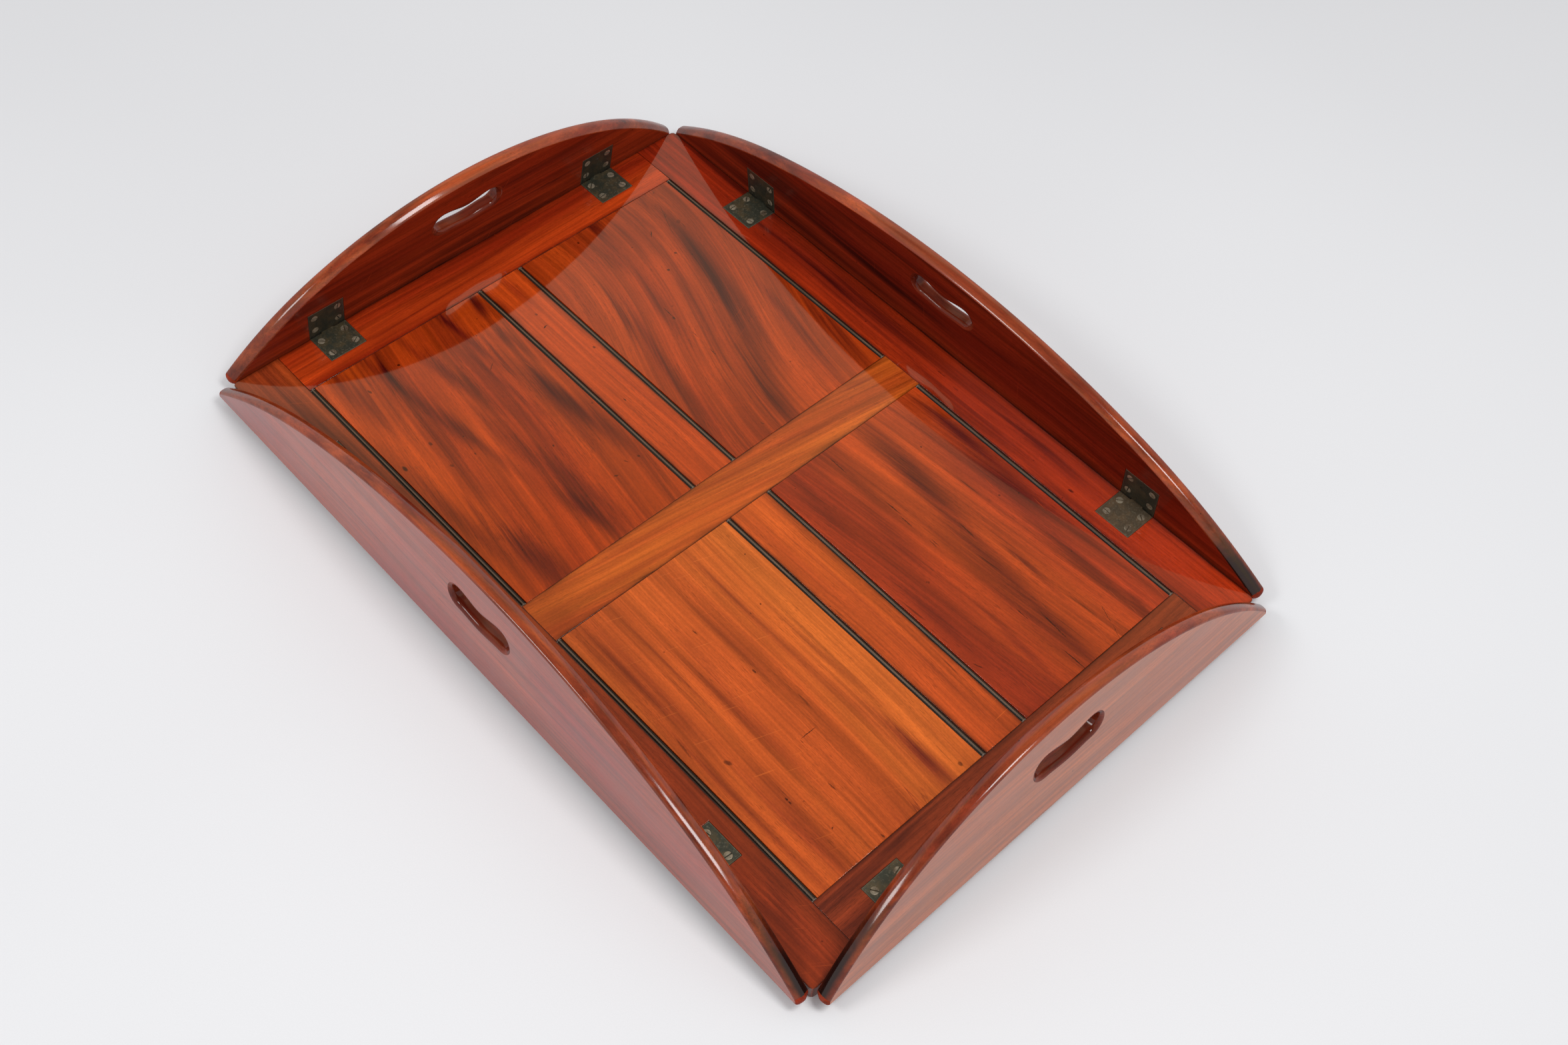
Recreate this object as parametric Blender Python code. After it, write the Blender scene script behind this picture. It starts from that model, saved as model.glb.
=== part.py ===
"""Butler's tray: a framed and panelled base with four folding flaps on sprung flush hinges.

Metres, +Z up. The origin is under the middle of the base, on the surface it rests on. +X runs
along the tray's long side, and the front is at -Y. The flaps stand up, as they do in use.
"""

import math

import bmesh
import bpy
from mathutils import Matrix

# Base frame
base_length = 0.740
base_width = 0.510
base_thickness = 0.016
base_corner_radius = 0.004
stile_width = 0.0466
end_rail_width = 0.049
cross_rail_width = 0.0438
muntin_width = 0.0414

# Panels, tongues, tenons and the bead strips along the panels' long edges
panel_thickness = 0.011
tongue_thickness = 0.005
tongue_length = 0.006
tenon_length = 0.022
tenon_margin = 0.009
strip_width = 0.005
bead_radius = 0.0015
quirk_depth = 0.0010

# Flaps
flap_thickness = 0.0135
long_flap_height = 0.1010
short_flap_height = 0.1005
long_flap_overhang = 0.0005
short_flap_shortfall = 0.0005
flap_end_radius = 0.0055
flap_end_drop = 0.004
flap_shoulder_share = 0.62
long_crown_flatness = 1.09
short_crown_flatness = 1.035
flap_base_gap = 0.0004
long_flap_lean = math.radians(6.6)
short_flap_lean = math.radians(9.8)

# The flap's section. Each row is a share of the flap's thickness, measured from the inner face, a
# share of the rim's drop, measured inwards from the crown, and a share of the step by which the
# hinge edge reaches back past the knuckles to meet the base's edge when the flap lies flat. The
# inner corner stops short of the full step, so that it clears the base as it swings round.
rim_drop = 0.0045
section_shares = (
    (0, 1, 0.88),
    (0.06, 0.6, 0.88),
    (0.2, 0.22, 1),
    (0.42, 0, 1),
    (0.75, 0.08, 1),
    (0.93, 0.3, 1),
    (1, 0.65, 1),
)

# Hand holes, seen on the flap's face: two round lobes and a waist that dips between them
long_hand_hole_height = 0.0606
short_hand_hole_height = 0.0570
long_hand_hole_lobe_radius = 0.0092
short_hand_hole_lobe_radius = 0.0104
hand_hole_lobe_spread = 0.0258
hand_hole_top_dip = 0.0042
hand_hole_belly = 0.0020
hand_hole_edge_radius = 0.004

# Hinges
leaf_width = 0.037
leaf_depth = 0.033
leaf_thickness = 0.002
barrel_radius = 0.0018
barrel_gap = 0.0012
pin_radius = 0.0008
middle_knuckle_width = 0.013
long_hinge_setback = 0.130
short_hinge_setback = 0.0995

# The leaf spring under each flap leaf, its rivet, and the flats it presses on
spring_width = 0.011
spring_thickness = 0.0008
spring_tip_reach = 0.001
spring_bearing = 0.004
spring_heel = 0.0045
rivet_setback = 0.0245
rivet_radius = 0.00125
knuckle_flat_depth = 0.0003

# Screws
screw_head_radius = 0.0036
screw_shank_radius = 0.0016
screw_tip_radius = 0.0008
screw_length = 0.011
screw_head_sink = 0.0003
screw_slot_width = 0.0009
screw_slot_depth = 0.0008
screw_near_row = 0.0078
screw_far_row = 0.0252
screw_spacing = 0.0244

# Clearance between pieces that touch, and how far a cutter runs past what it cuts
fit_gap = 0.0003
overrun = 0.001

# Facets
crown_steps = 14
shoulder_steps = 5
corner_steps = 3
waist_steps = 8
lobe_steps = 8
edge_steps = 3
bead_steps = 4
barrel_steps = 9
pin_sides = 10
screw_sides = 8
screw_turn_share = 0.382

# Levels and lines that follow from the sizes above
tongue_bottom = base_thickness - panel_thickness
tongue_top = tongue_bottom + tongue_thickness
stile_inner = base_width / 2 - stile_width
rail_inner = base_length / 2 - end_rail_width
cross_rail_edge = cross_rail_width / 2
muntin_edge = muntin_width / 2
groove_depth = tongue_length + fit_gap
end_tenon_edge = rail_inner + groove_depth
axis_offset = barrel_radius + barrel_gap
axis_height = base_thickness - barrel_radius
hinge_edge_step = 2 * axis_offset - flap_base_gap
leaf_top = barrel_radius
leaf_bottom = leaf_top - leaf_thickness
pocket_floor = leaf_bottom - fit_gap

SIDES = {
    "front": dict(turn=-math.pi / 2, reach=base_width / 2, run=base_length / 2, long=True),
    "back": dict(turn=math.pi / 2, reach=base_width / 2, run=base_length / 2, long=True),
    "left": dict(turn=math.pi, reach=base_length / 2, run=base_width / 2, long=False),
    "right": dict(turn=0, reach=base_length / 2, run=base_width / 2, long=False),
}


def clear_scene():
    for item in list(bpy.data.objects):
        bpy.data.objects.remove(item, do_unlink=True)


# Materials


def make_material(name, colour, roughness, metallic):
    material = bpy.data.materials.new(name)
    material.use_nodes = True
    shader = material.node_tree.nodes["Principled BSDF"]
    shader.inputs["Base Color"].default_value = (*colour, 1)
    shader.inputs["Roughness"].default_value = roughness
    shader.inputs["Metallic"].default_value = metallic
    material.diffuse_color = (*colour, 1)
    return material


def make_materials():
    return {
        "frame": make_material("frame_mahogany", (0.30, 0.055, 0.018), 0.28, 0),
        "cross": make_material("cross_rail_wood", (0.42, 0.12, 0.03), 0.28, 0),
        "panel": make_material("panel_mahogany", (0.36, 0.075, 0.02), 0.25, 0),
        "flap": make_material("flap_mahogany", (0.22, 0.03, 0.012), 0.28, 0),
        "strip": make_material("ebonised_strip", (0.03, 0.02, 0.014), 0.35, 0),
        "leaf": make_material("patinated_brass", (0.09, 0.075, 0.04), 0.5, 1),
        "spring": make_material("spring_steel", (0.25, 0.25, 0.26), 0.4, 1),
    }


# Mesh tools


def lofted(loops):
    """A closed mesh through loops with equal point counts, with both ends filled."""
    bm = bmesh.new()
    rings = [[bm.verts.new(point) for point in loop] for loop in loops]
    for lower, upper in zip(rings, rings[1:]):
        for index in range(len(lower)):
            after = (index + 1) % len(lower)
            bm.faces.new((lower[index], lower[after], upper[after], upper[index]))
    bm.faces.new(rings[0])
    bm.faces.new(rings[-1])
    bmesh.ops.recalc_face_normals(bm, faces=bm.faces)
    mesh = bpy.data.meshes.new("lofted")
    bm.to_mesh(mesh)
    bm.free()
    return mesh


def prism(outline, low, high):
    """An outline of (x, y) points, extruded from z = low to z = high."""
    return lofted([[(x, y, z) for x, y in outline] for z in (low, high)])


def box(x_range, y_range, z_range):
    (x0, x1), (y0, y1) = x_range, y_range
    return prism([(x0, y0), (x1, y0), (x1, y1), (x0, y1)], *z_range)


def turned(profile, sides):
    """A solid turned about +Z from (radius, z) pairs, with a corner of each ring on +Y."""
    angles = [math.pi / 2 + 2 * math.pi * step / sides for step in range(sides)]
    return lofted([[(r * math.cos(a), r * math.sin(a), z) for a in angles] for r, z in profile])


def moved(mesh, matrix):
    mesh.transform(matrix)
    if matrix.to_3x3().determinant() < 0:
        mesh.flip_normals()
    return mesh


def shifted(mesh, x=0, y=0, z=0):
    return moved(mesh, Matrix.Translation((x, y, z)))


def joined(meshes):
    """One tool made of several separate bodies."""
    bm = bmesh.new()
    for mesh in meshes:
        bm.from_mesh(mesh)
    result = bpy.data.meshes.new("joined")
    bm.to_mesh(result)
    bm.free()
    return result


def combined(mesh, operation, tools):
    """The mesh after a Boolean with each of the tools in turn."""
    body = bpy.data.objects.new("body", mesh)
    bpy.context.collection.objects.link(body)
    helpers = [body]
    for tool_mesh in tools:
        tool = bpy.data.objects.new("tool", tool_mesh)
        bpy.context.collection.objects.link(tool)
        helpers.append(tool)
        modifier = body.modifiers.new("boolean", "BOOLEAN")
        modifier.operation = operation
        modifier.solver = "EXACT"
        modifier.object = tool
    graph = bpy.context.evaluated_depsgraph_get()
    result = bpy.data.meshes.new_from_object(body.evaluated_get(graph))
    for helper in helpers:
        bpy.data.objects.remove(helper, do_unlink=True)
    return result


def cut(mesh, tools):
    return combined(mesh, "DIFFERENCE", tools)


def fused(mesh, tools):
    return combined(mesh, "UNION", tools)


def add_piece(name, mesh, material, matrix=None, parent=None):
    """A named object from a mesh. The matrix is in the parent's frame."""
    if material.name not in mesh.materials:
        mesh.materials.clear()
        mesh.materials.append(material)
    mesh.shade_smooth()
    mesh.set_sharp_from_angle(angle=math.radians(35))
    piece = bpy.data.objects.new(name, mesh)
    bpy.context.collection.objects.link(piece)
    piece.parent = parent
    piece.matrix_local = matrix or Matrix()
    return piece


def mirrored(value):
    return (-value, value)


# Base frame


def stile_mesh():
    """The front stile, with its outer edge at -Y, before its hinge pockets are cut."""
    half = base_length / 2
    outer = -base_width / 2
    corner_x = half - base_corner_radius
    corner_y = outer + base_corner_radius
    outline = [(half, -stile_inner), (-half, -stile_inner)]
    for centre_x, start in ((-corner_x, math.pi), (corner_x, 1.5 * math.pi)):
        for step in range(corner_steps + 1):
            angle = start + step / corner_steps * math.pi / 2
            x = centre_x + base_corner_radius * math.cos(angle)
            outline.append((x, corner_y + base_corner_radius * math.sin(angle)))
    stile = prism(outline, 0, base_thickness)
    slot_levels = (tongue_bottom - fit_gap, tongue_top + fit_gap)
    mouth = -stile_inner + overrun
    groove = box(mirrored(end_tenon_edge), (-stile_inner - groove_depth, mouth), slot_levels)
    mortise_range = (-stile_inner - tenon_length - fit_gap, mouth)
    mortises = [
        box((low - fit_gap, high + fit_gap), mortise_range, slot_levels)
        for low, high in (
            (-half + tenon_margin, -end_tenon_edge),
            (-cross_rail_edge + tenon_margin, cross_rail_edge - tenon_margin),
            (end_tenon_edge, half - tenon_margin),
        )
    ]
    return cut(stile, [groove] + mortises)


def rail_mesh(low, high, tenon_low, tenon_high, grooved):
    """A rail between the stiles from x = low to x = high, with a tenon at each end."""
    shoulder = stile_inner - fit_gap
    tenon_end = stile_inner + tenon_length
    rail = box((low, high), mirrored(shoulder), (0, base_thickness))
    tenons = box((tenon_low, tenon_high), mirrored(tenon_end), (tongue_bottom, tongue_top))
    slot_levels = (tongue_bottom - fit_gap, tongue_top + fit_gap)
    grooves = []
    for edge in grooved:
        inward = -1 if edge == high else 1
        edges = sorted((edge - inward * overrun, edge + inward * groove_depth))
        grooves.append(box(edges, mirrored(stile_inner + overrun), slot_levels))
    return fused(cut(rail, grooves), [tenons])


def muntin_mesh(low, high):
    """A muntin from x = low to x = high, with stub tenons and a groove on each long edge."""
    muntin = box((low + fit_gap, high - fit_gap), mirrored(muntin_edge), (0, base_thickness))
    slot_levels = (tongue_bottom - fit_gap, tongue_top + fit_gap)
    grooves = [
        box((low - overrun, high + overrun), sorted((side * (muntin_edge + overrun),
            side * (muntin_edge - groove_depth))), slot_levels)
        for side in (-1, 1)
    ]
    core = muntin_edge - groove_depth - fit_gap
    stub = box((low - tongue_length, high + tongue_length), mirrored(core),
               (tongue_bottom, tongue_top))
    return fused(cut(muntin, grooves), [stub])


def panel_mesh(low, high, inner, outer):
    """A flush panel whose opening runs from low to high in X and from inner to outer in Y."""
    tongue = box((low - tongue_length, high + tongue_length),
                 (inner - tongue_length, outer + tongue_length), (tongue_bottom, tongue_top))
    margin = strip_width + fit_gap
    field = box((low + fit_gap, high - fit_gap), (inner + margin, outer - margin),
                (tongue_bottom, base_thickness))
    return fused(tongue, [field])


def strip_mesh(low, high, start, end):
    """A bead strip from x = low to x = high, lying on the panel's tongue from y = start to end."""
    middle = (start + end) / 2
    floor = base_thickness - quirk_depth
    spring_line = base_thickness - bead_radius
    quirk_edge = math.sqrt(bead_radius ** 2 - (floor - spring_line) ** 2)
    first = math.acos(quirk_edge / bead_radius)
    section = [(start + fit_gap, tongue_top + fit_gap), (end - fit_gap, tongue_top + fit_gap),
               (end - fit_gap, floor)]
    for step in range(bead_steps + 1):
        angle = first + step / bead_steps * (math.pi - 2 * first)
        section.append((middle + bead_radius * math.cos(angle),
                        spring_line + bead_radius * math.sin(angle)))
    section.append((start + fit_gap, floor))
    return lofted([[(x, y, z) for y, z in section] for x in (low + fit_gap, high - fit_gap)])


def hinge_spreads(side):
    """Distances of a side's two hinges along its axis, from the middle of that side."""
    setback = long_hinge_setback if side["long"] else short_hinge_setback
    return mirrored(side["run"] - setback)


def side_matrix(side):
    """The frame of a side's hinge axis: +X outwards, +Y along the axis, +Z up."""
    outwards = side["reach"] + axis_offset
    return Matrix.Rotation(side["turn"], 4, "Z") @ Matrix.Translation((outwards, 0, axis_height))


def screw_places(direction):
    """Where a leaf's four screws go, in the hinge's frame, for a leaf on one side of the axis."""
    rows = (screw_near_row, screw_far_row)
    return [
        (direction * (axis_offset + row), across)
        for row in rows
        for across in mirrored(screw_spacing / 2)
    ]


def leaf_pocket_tools(direction):
    """Cutters for one leaf's seat and its screws' holes, in the hinge's frame."""
    near = direction * (axis_offset - overrun)
    far = direction * (axis_offset + leaf_depth + fit_gap)
    seat = box(sorted((near, far)), mirrored(leaf_width / 2 + fit_gap),
               (pocket_floor, leaf_top + overrun))
    hole_radius = screw_shank_radius + fit_gap
    hole_end = leaf_top - screw_length - fit_gap
    hole = [(hole_radius, hole_end), (hole_radius, pocket_floor + overrun)]
    holes = [shifted(turned(hole, screw_sides), x, y) for x, y in screw_places(direction)]
    return [seat, joined(holes)]


def cut_base_pockets(mesh, side):
    tools = []
    for spread in hinge_spreads(side):
        place = side_matrix(side) @ Matrix.Translation((0, spread, 0))
        tools += [moved(tool, place) for tool in leaf_pocket_tools(-1)]
    return cut(mesh, tools)


def build_base(materials):
    half_turn = Matrix.Rotation(math.pi, 4, "Z")
    front = stile_mesh()
    back = moved(front.copy(), half_turn)
    add_piece("front_stile", cut_base_pockets(front, SIDES["front"]), materials["frame"])
    add_piece("back_stile", cut_base_pockets(back, SIDES["back"]), materials["frame"])

    outer = base_length / 2
    right = rail_mesh(rail_inner, outer, end_tenon_edge, outer - tenon_margin, [rail_inner])
    left = moved(right.copy(), half_turn)
    add_piece("right_end_rail", cut_base_pockets(right, SIDES["right"]), materials["frame"])
    add_piece("left_end_rail", cut_base_pockets(left, SIDES["left"]), materials["frame"])
    cross_tenon = cross_rail_edge - tenon_margin
    cross = rail_mesh(-cross_rail_edge, cross_rail_edge, -cross_tenon, cross_tenon,
                      [-cross_rail_edge, cross_rail_edge])
    add_piece("cross_rail", cross, materials["cross"])

    for half_name, low, high in (
        ("left", -rail_inner, -cross_rail_edge),
        ("right", cross_rail_edge, rail_inner),
    ):
        add_piece(half_name + "_muntin", muntin_mesh(low, high), materials["frame"])
        for row_name, inner, outer in (
            ("front", -stile_inner, -muntin_edge),
            ("back", muntin_edge, stile_inner),
        ):
            name = f"{half_name}_{row_name}_panel"
            add_piece(name, panel_mesh(low, high, inner, outer), materials["panel"])
            add_piece(name + "_front_bead", strip_mesh(low, high, inner, inner + strip_width),
                      materials["strip"])
            add_piece(name + "_back_bead", strip_mesh(low, high, outer - strip_width, outer),
                      materials["strip"])


# Flaps, in the hinge axis frame of their side, lying flat: the inner face is on top


def flap_arcs(half_length, height, flatness):
    """The crown, shoulder and end arcs of a flap's rim, each tangent to the next.

    Each row is a centre as (height, along), a radius, and the angle at which the arc ends. The
    crown is flatter than one plain arc from end to end would be, and the shoulders are rounder.
    """
    end_centre = (-flap_end_drop, half_length - flap_end_radius)
    rise = height - flap_end_radius + flap_end_drop
    plain_radius = (end_centre[1] ** 2 + rise ** 2) / (2 * rise) + flap_end_radius
    crown_radius = plain_radius * flatness
    crown_angle = math.asin(flap_shoulder_share * half_length / crown_radius)
    normal = (math.cos(crown_angle), math.sin(crown_angle))
    crown_centre = (height - crown_radius, 0)
    meeting = (crown_centre[0] + crown_radius * normal[0], crown_radius * normal[1])
    away = (end_centre[0] - meeting[0], end_centre[1] - meeting[1])
    depth = -(away[0] * normal[0] + away[1] * normal[1]) - flap_end_radius
    shoulder_radius = (away[0] ** 2 + away[1] ** 2 - flap_end_radius ** 2) / (2 * depth)
    shoulder_centre = (meeting[0] - shoulder_radius * normal[0], meeting[1] - shoulder_radius * normal[1])
    shoulder_angle = math.atan2(end_centre[1] - shoulder_centre[1], end_centre[0] - shoulder_centre[0])
    return (
        (crown_centre, crown_radius, crown_angle),
        (shoulder_centre, shoulder_radius, shoulder_angle),
        (end_centre, flap_end_radius, math.pi / 2),
    )


def flap_outline(half_length, height, flatness, inset):
    """The flap's outline as (height, along) pairs, drawn in by an inset all along its rim."""
    side = []
    start = 0
    steps = (crown_steps // 2, shoulder_steps, corner_steps)
    for (centre, radius, end), count in zip(flap_arcs(half_length, height, flatness), steps):
        for step in range(1, count + 1):
            angle = start + (end - start) * step / count
            side.append((centre[0] + (radius - inset) * math.cos(angle),
                         centre[1] + (radius - inset) * math.sin(angle)))
        start = end
    points = [(0, -half_length + inset), (0, half_length - inset)]
    points += reversed(side)
    points.append((height - inset, 0))
    points += [(rise, -along) for rise, along in side]
    return points


def hand_hole_outline(level, lobe_radius):
    """The hand hole's outline as (height, along) pairs, before its edges are rounded."""
    def waist(along, depth):
        return depth * (1 + math.cos(math.pi * along / hand_hole_lobe_spread)) / 2

    shares = [1 - 2 * step / waist_steps for step in range(1, waist_steps)]
    points = []
    for step in range(lobe_steps + 1):
        angle = math.pi * step / lobe_steps
        points.append((level - lobe_radius * math.cos(angle),
                       hand_hole_lobe_spread + lobe_radius * math.sin(angle)))
    for share in shares:
        along = share * hand_hole_lobe_spread
        points.append((level + lobe_radius - waist(along, hand_hole_top_dip), along))
    for step in range(lobe_steps + 1):
        angle = math.pi * (1 + step / lobe_steps)
        points.append((level - lobe_radius * math.cos(angle),
                       -hand_hole_lobe_spread + lobe_radius * math.sin(angle)))
    for share in reversed(shares):
        along = share * hand_hole_lobe_spread
        points.append((level - lobe_radius - waist(along, hand_hole_belly), along))
    return points


def widened(outline, amount):
    """The outline, moved outwards by an amount along the normal at each point."""
    result = []
    for index, (height, along) in enumerate(outline):
        before = outline[index - 1]
        after = outline[(index + 1) % len(outline)]
        run = (after[0] - before[0], after[1] - before[1])
        length = math.hypot(*run)
        result.append((height - run[1] / length * amount, along + run[0] / length * amount))
    return result


def hand_hole_tool(level, lobe_radius):
    """The cutter for the hand hole, flared at both faces so that the hole's edges are round."""
    outline = hand_hole_outline(level, lobe_radius)
    flares = [(-overrun, hand_hole_edge_radius + overrun)]
    for step in range(1, edge_steps + 1):
        angle = step / edge_steps * math.pi / 2
        flares.append((hand_hole_edge_radius * (1 - math.cos(angle)),
                       hand_hole_edge_radius * (1 - math.sin(angle))))
    layers = flares + [(flap_thickness - depth, flare) for depth, flare in reversed(flares)]
    return lofted([
        [(axis_offset + height, along, leaf_top - depth) for height, along in widened(outline, flare)]
        for depth, flare in layers
    ])


def spring_levels():
    """The spring's upper surface at its riveted heel and where it meets the knuckle."""
    return leaf_bottom - fit_gap, -barrel_radius - fit_gap


def flap_mesh(shape, hole, spreads):
    layers = []
    for thickness_share, drop_share, step_share in section_shares:
        outline = flap_outline(*shape, drop_share * rim_drop)
        outline[:2] = [(-step_share * hinge_edge_step, along) for rise, along in outline[:2]]
        level = leaf_top - thickness_share * flap_thickness
        layers.append([(axis_offset + rise, along, level) for rise, along in outline])
    flap = cut(lofted(layers), [hand_hole_tool(*hole)])
    heel_level, tip_level = spring_levels()
    channel_floor = tip_level - spring_thickness - fit_gap
    channel_end = axis_offset + rivet_setback + spring_heel + fit_gap
    knuckle_room = barrel_radius + fit_gap
    tools = []
    for spread in spreads:
        channel = box((-axis_offset - overrun, channel_end),
                      mirrored(spring_width / 2 + fit_gap), (channel_floor, pocket_floor + overrun))
        notch = box((-axis_offset - overrun, knuckle_room),
                    mirrored(leaf_width / 2 + fit_gap), (-knuckle_room, leaf_top + overrun))
        place = Matrix.Translation((0, spread, 0))
        tools += [moved(tool, place) for tool in leaf_pocket_tools(1) + [channel, notch]]
    return cut(flap, tools)


# Hinges, in the frame of their axis


def leaf_section(direction):
    """The leaf's section across its axis: a plate that rolls into the knuckle, from (x, z) pairs."""
    first = math.pi / 2
    last = 2 * math.pi + math.asin(leaf_bottom / barrel_radius)
    far = axis_offset + leaf_depth
    section = [(far, leaf_bottom), (far, leaf_top)]
    for step in range(barrel_steps + 1):
        angle = first + step / barrel_steps * (last - first)
        section.append((barrel_radius * math.cos(angle), barrel_radius * math.sin(angle)))
    return [(direction * x, z) for x, z in section]


def bore_tool():
    along = Matrix.Rotation(-math.pi / 2, 4, "X")
    reach = leaf_width / 2 + overrun
    radius = pin_radius + fit_gap
    return moved(turned([(radius, -reach), (radius, reach)], pin_sides), along)


def screw_shank_mesh():
    """A screw's tapered shank, driven in from z = 0, with its top inside the leaf."""
    return turned([(screw_tip_radius, -screw_length), (screw_shank_radius, -leaf_thickness / 2)],
                  screw_sides)


def screw_recess_mesh():
    """The cutter that leaves a countersunk head a little below the leaf's surface."""
    levels = (-screw_head_sink, overrun)
    return turned([(screw_head_radius, level) for level in levels], screw_sides)


def screw_slot_mesh():
    return box(mirrored(screw_head_radius - fit_gap), mirrored(screw_slot_width / 2),
               (-screw_slot_depth, overrun))


def leaf_mesh(direction, open_spans):
    """A hinge leaf with its screws driven home, and no knuckle over the open spans."""
    half = leaf_width / 2
    body = lofted([[(x, y, z) for x, z in leaf_section(direction)] for y in mirrored(half)])
    reach = barrel_radius + overrun
    openings = [box(sorted((-direction * reach, direction * axis_offset)), span, mirrored(reach))
                for span in open_spans]
    shanks, recesses, slots = [], [], []
    for number, (x, y) in enumerate(screw_places(direction)):
        place = Matrix.Translation((x, y, leaf_top))
        turn = Matrix.Rotation(number * screw_turn_share * 2 * math.pi, 4, "Z")
        shanks.append(moved(screw_shank_mesh(), place))
        recesses.append(moved(screw_recess_mesh(), place))
        slots.append(moved(screw_slot_mesh(), place @ turn))
    body = fused(cut(body, openings + [bore_tool()]), [joined(shanks)])
    return cut(body, [joined(recesses), joined(slots)])


def flat_tools(rest_angle):
    """Cutters for the two flats on the middle knuckle: one for each place the flap stays at."""
    reach = barrel_radius + overrun
    tools = []
    for turn in (0, rest_angle):
        flat = box(mirrored(reach), mirrored(middle_knuckle_width),
                   (-reach, -barrel_radius + knuckle_flat_depth))
        tools.append(moved(flat, Matrix.Rotation(-turn, 4, "Y")))
    return tools


def base_leaf_mesh(rest_angle):
    middle = middle_knuckle_width / 2
    past = leaf_width / 2 + overrun
    return cut(leaf_mesh(-1, [(-past, -middle), (middle, past)]), flat_tools(rest_angle))


def flap_leaf_mesh():
    leaf = leaf_mesh(1, [mirrored(middle_knuckle_width / 2 + fit_gap)])
    radius = rivet_radius + fit_gap
    hole = turned([(radius, leaf_bottom - overrun), (radius, leaf_top + overrun)], screw_sides)
    return cut(leaf, [shifted(hole, axis_offset + rivet_setback)])


def pin_mesh():
    along = Matrix.Rotation(-math.pi / 2, 4, "X")
    reach = leaf_width / 2 - fit_gap
    return moved(turned([(pin_radius, -reach), (pin_radius, reach)], pin_sides), along)


def spring_mesh():
    """A bent strip with its rivet: the tip presses on the knuckle, the rivet holds the heel."""
    heel_level, tip_level = spring_levels()
    rivet = axis_offset + rivet_setback
    upper = [(-spring_tip_reach, tip_level), (spring_bearing, tip_level),
             (rivet - spring_heel, heel_level), (rivet + spring_heel, heel_level)]
    section = upper + [(x, z - spring_thickness) for x, z in reversed(upper)]
    strip = lofted([[(x, y, z) for x, z in section] for y in mirrored(spring_width / 2)])
    rivet_ends = (heel_level - spring_thickness / 2, leaf_top)
    shank = turned([(rivet_radius, level) for level in rivet_ends], screw_sides)
    return fused(strip, [shifted(shank, rivet)])


def build_side(name, side, materials):
    """One flap with its two hinges. The flap's pieces hang on an empty on the hinge axis."""
    lean = long_flap_lean if side["long"] else short_flap_lean
    rest_angle = math.pi / 2 + lean
    place = side_matrix(side)
    axis = bpy.data.objects.new(name + "_flap_axis", None)
    bpy.context.collection.objects.link(axis)
    axis.matrix_local = place @ Matrix.Rotation(-rest_angle, 4, "Y")

    if side["long"]:
        shape = side["run"] + long_flap_overhang, long_flap_height, long_crown_flatness
        hole = long_hand_hole_height, long_hand_hole_lobe_radius
    else:
        shape = side["run"] - short_flap_shortfall, short_flap_height, short_crown_flatness
        hole = short_hand_hole_height, short_hand_hole_lobe_radius
    spreads = hinge_spreads(side)
    add_piece(name + "_flap", flap_mesh(shape, hole, spreads), materials["flap"], parent=axis)

    base_leaf = base_leaf_mesh(rest_angle)
    flap_leaf = flap_leaf_mesh()
    pin = pin_mesh()
    spring = spring_mesh()
    for number, spread in enumerate(spreads, start=1):
        along = Matrix.Translation((0, spread, 0))
        add_piece(f"{name}_base_leaf_{number}", base_leaf, materials["leaf"], place @ along)
        add_piece(f"{name}_flap_leaf_{number}", flap_leaf, materials["leaf"], along, axis)
        add_piece(f"{name}_hinge_pin_{number}", pin, materials["spring"], along, axis)
        add_piece(f"{name}_spring_{number}", spring, materials["spring"], along, axis)


def build_tray():
    clear_scene()
    materials = make_materials()
    build_base(materials)
    for name, side in SIDES.items():
        build_side(name, side, materials)


build_tray()
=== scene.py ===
"""The looks of the butler's tray: refined wood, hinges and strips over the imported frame."""
import math

import bmesh
import bpy
from mathutils import Matrix, Vector


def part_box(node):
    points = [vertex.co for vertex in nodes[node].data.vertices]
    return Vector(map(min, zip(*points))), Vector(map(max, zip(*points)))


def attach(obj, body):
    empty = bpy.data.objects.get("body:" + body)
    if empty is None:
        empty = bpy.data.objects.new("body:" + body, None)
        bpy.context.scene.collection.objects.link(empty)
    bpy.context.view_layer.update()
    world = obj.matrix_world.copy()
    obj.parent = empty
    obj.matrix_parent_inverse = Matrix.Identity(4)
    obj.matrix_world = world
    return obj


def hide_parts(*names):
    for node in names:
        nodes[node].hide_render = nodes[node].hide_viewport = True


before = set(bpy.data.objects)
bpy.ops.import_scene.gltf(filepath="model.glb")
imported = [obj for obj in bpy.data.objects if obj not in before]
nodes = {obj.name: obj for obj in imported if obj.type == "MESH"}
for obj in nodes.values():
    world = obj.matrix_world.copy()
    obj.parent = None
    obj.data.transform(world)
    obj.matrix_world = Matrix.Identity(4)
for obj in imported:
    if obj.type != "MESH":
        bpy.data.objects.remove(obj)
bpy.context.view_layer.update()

# Sizes that the part's source also uses, in metres
base_length = 0.740
base_width = 0.510
base_thickness = 0.016
flap_thickness = 0.0135
long_half = 0.3705
short_half = 0.2545
end_radius = 0.0055
end_drop = 0.004
shoulder_share = 0.62
barrel_radius = 0.0018
axis_offset = 0.0030
hinge_edge_step = 0.0056
leaf_width = 0.037
leaf_depth = 0.033
leaf_thickness = 0.002
middle_knuckle_width = 0.013
screw_near_row = 0.0078
screw_far_row = 0.0252
screw_spacing = 0.0244
hole_lobe_spread = 0.0258
hole_top_dip = 0.0042
hole_belly = 0.0020
hole_edge_radius = 0.004
axis_height = base_thickness - barrel_radius

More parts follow.
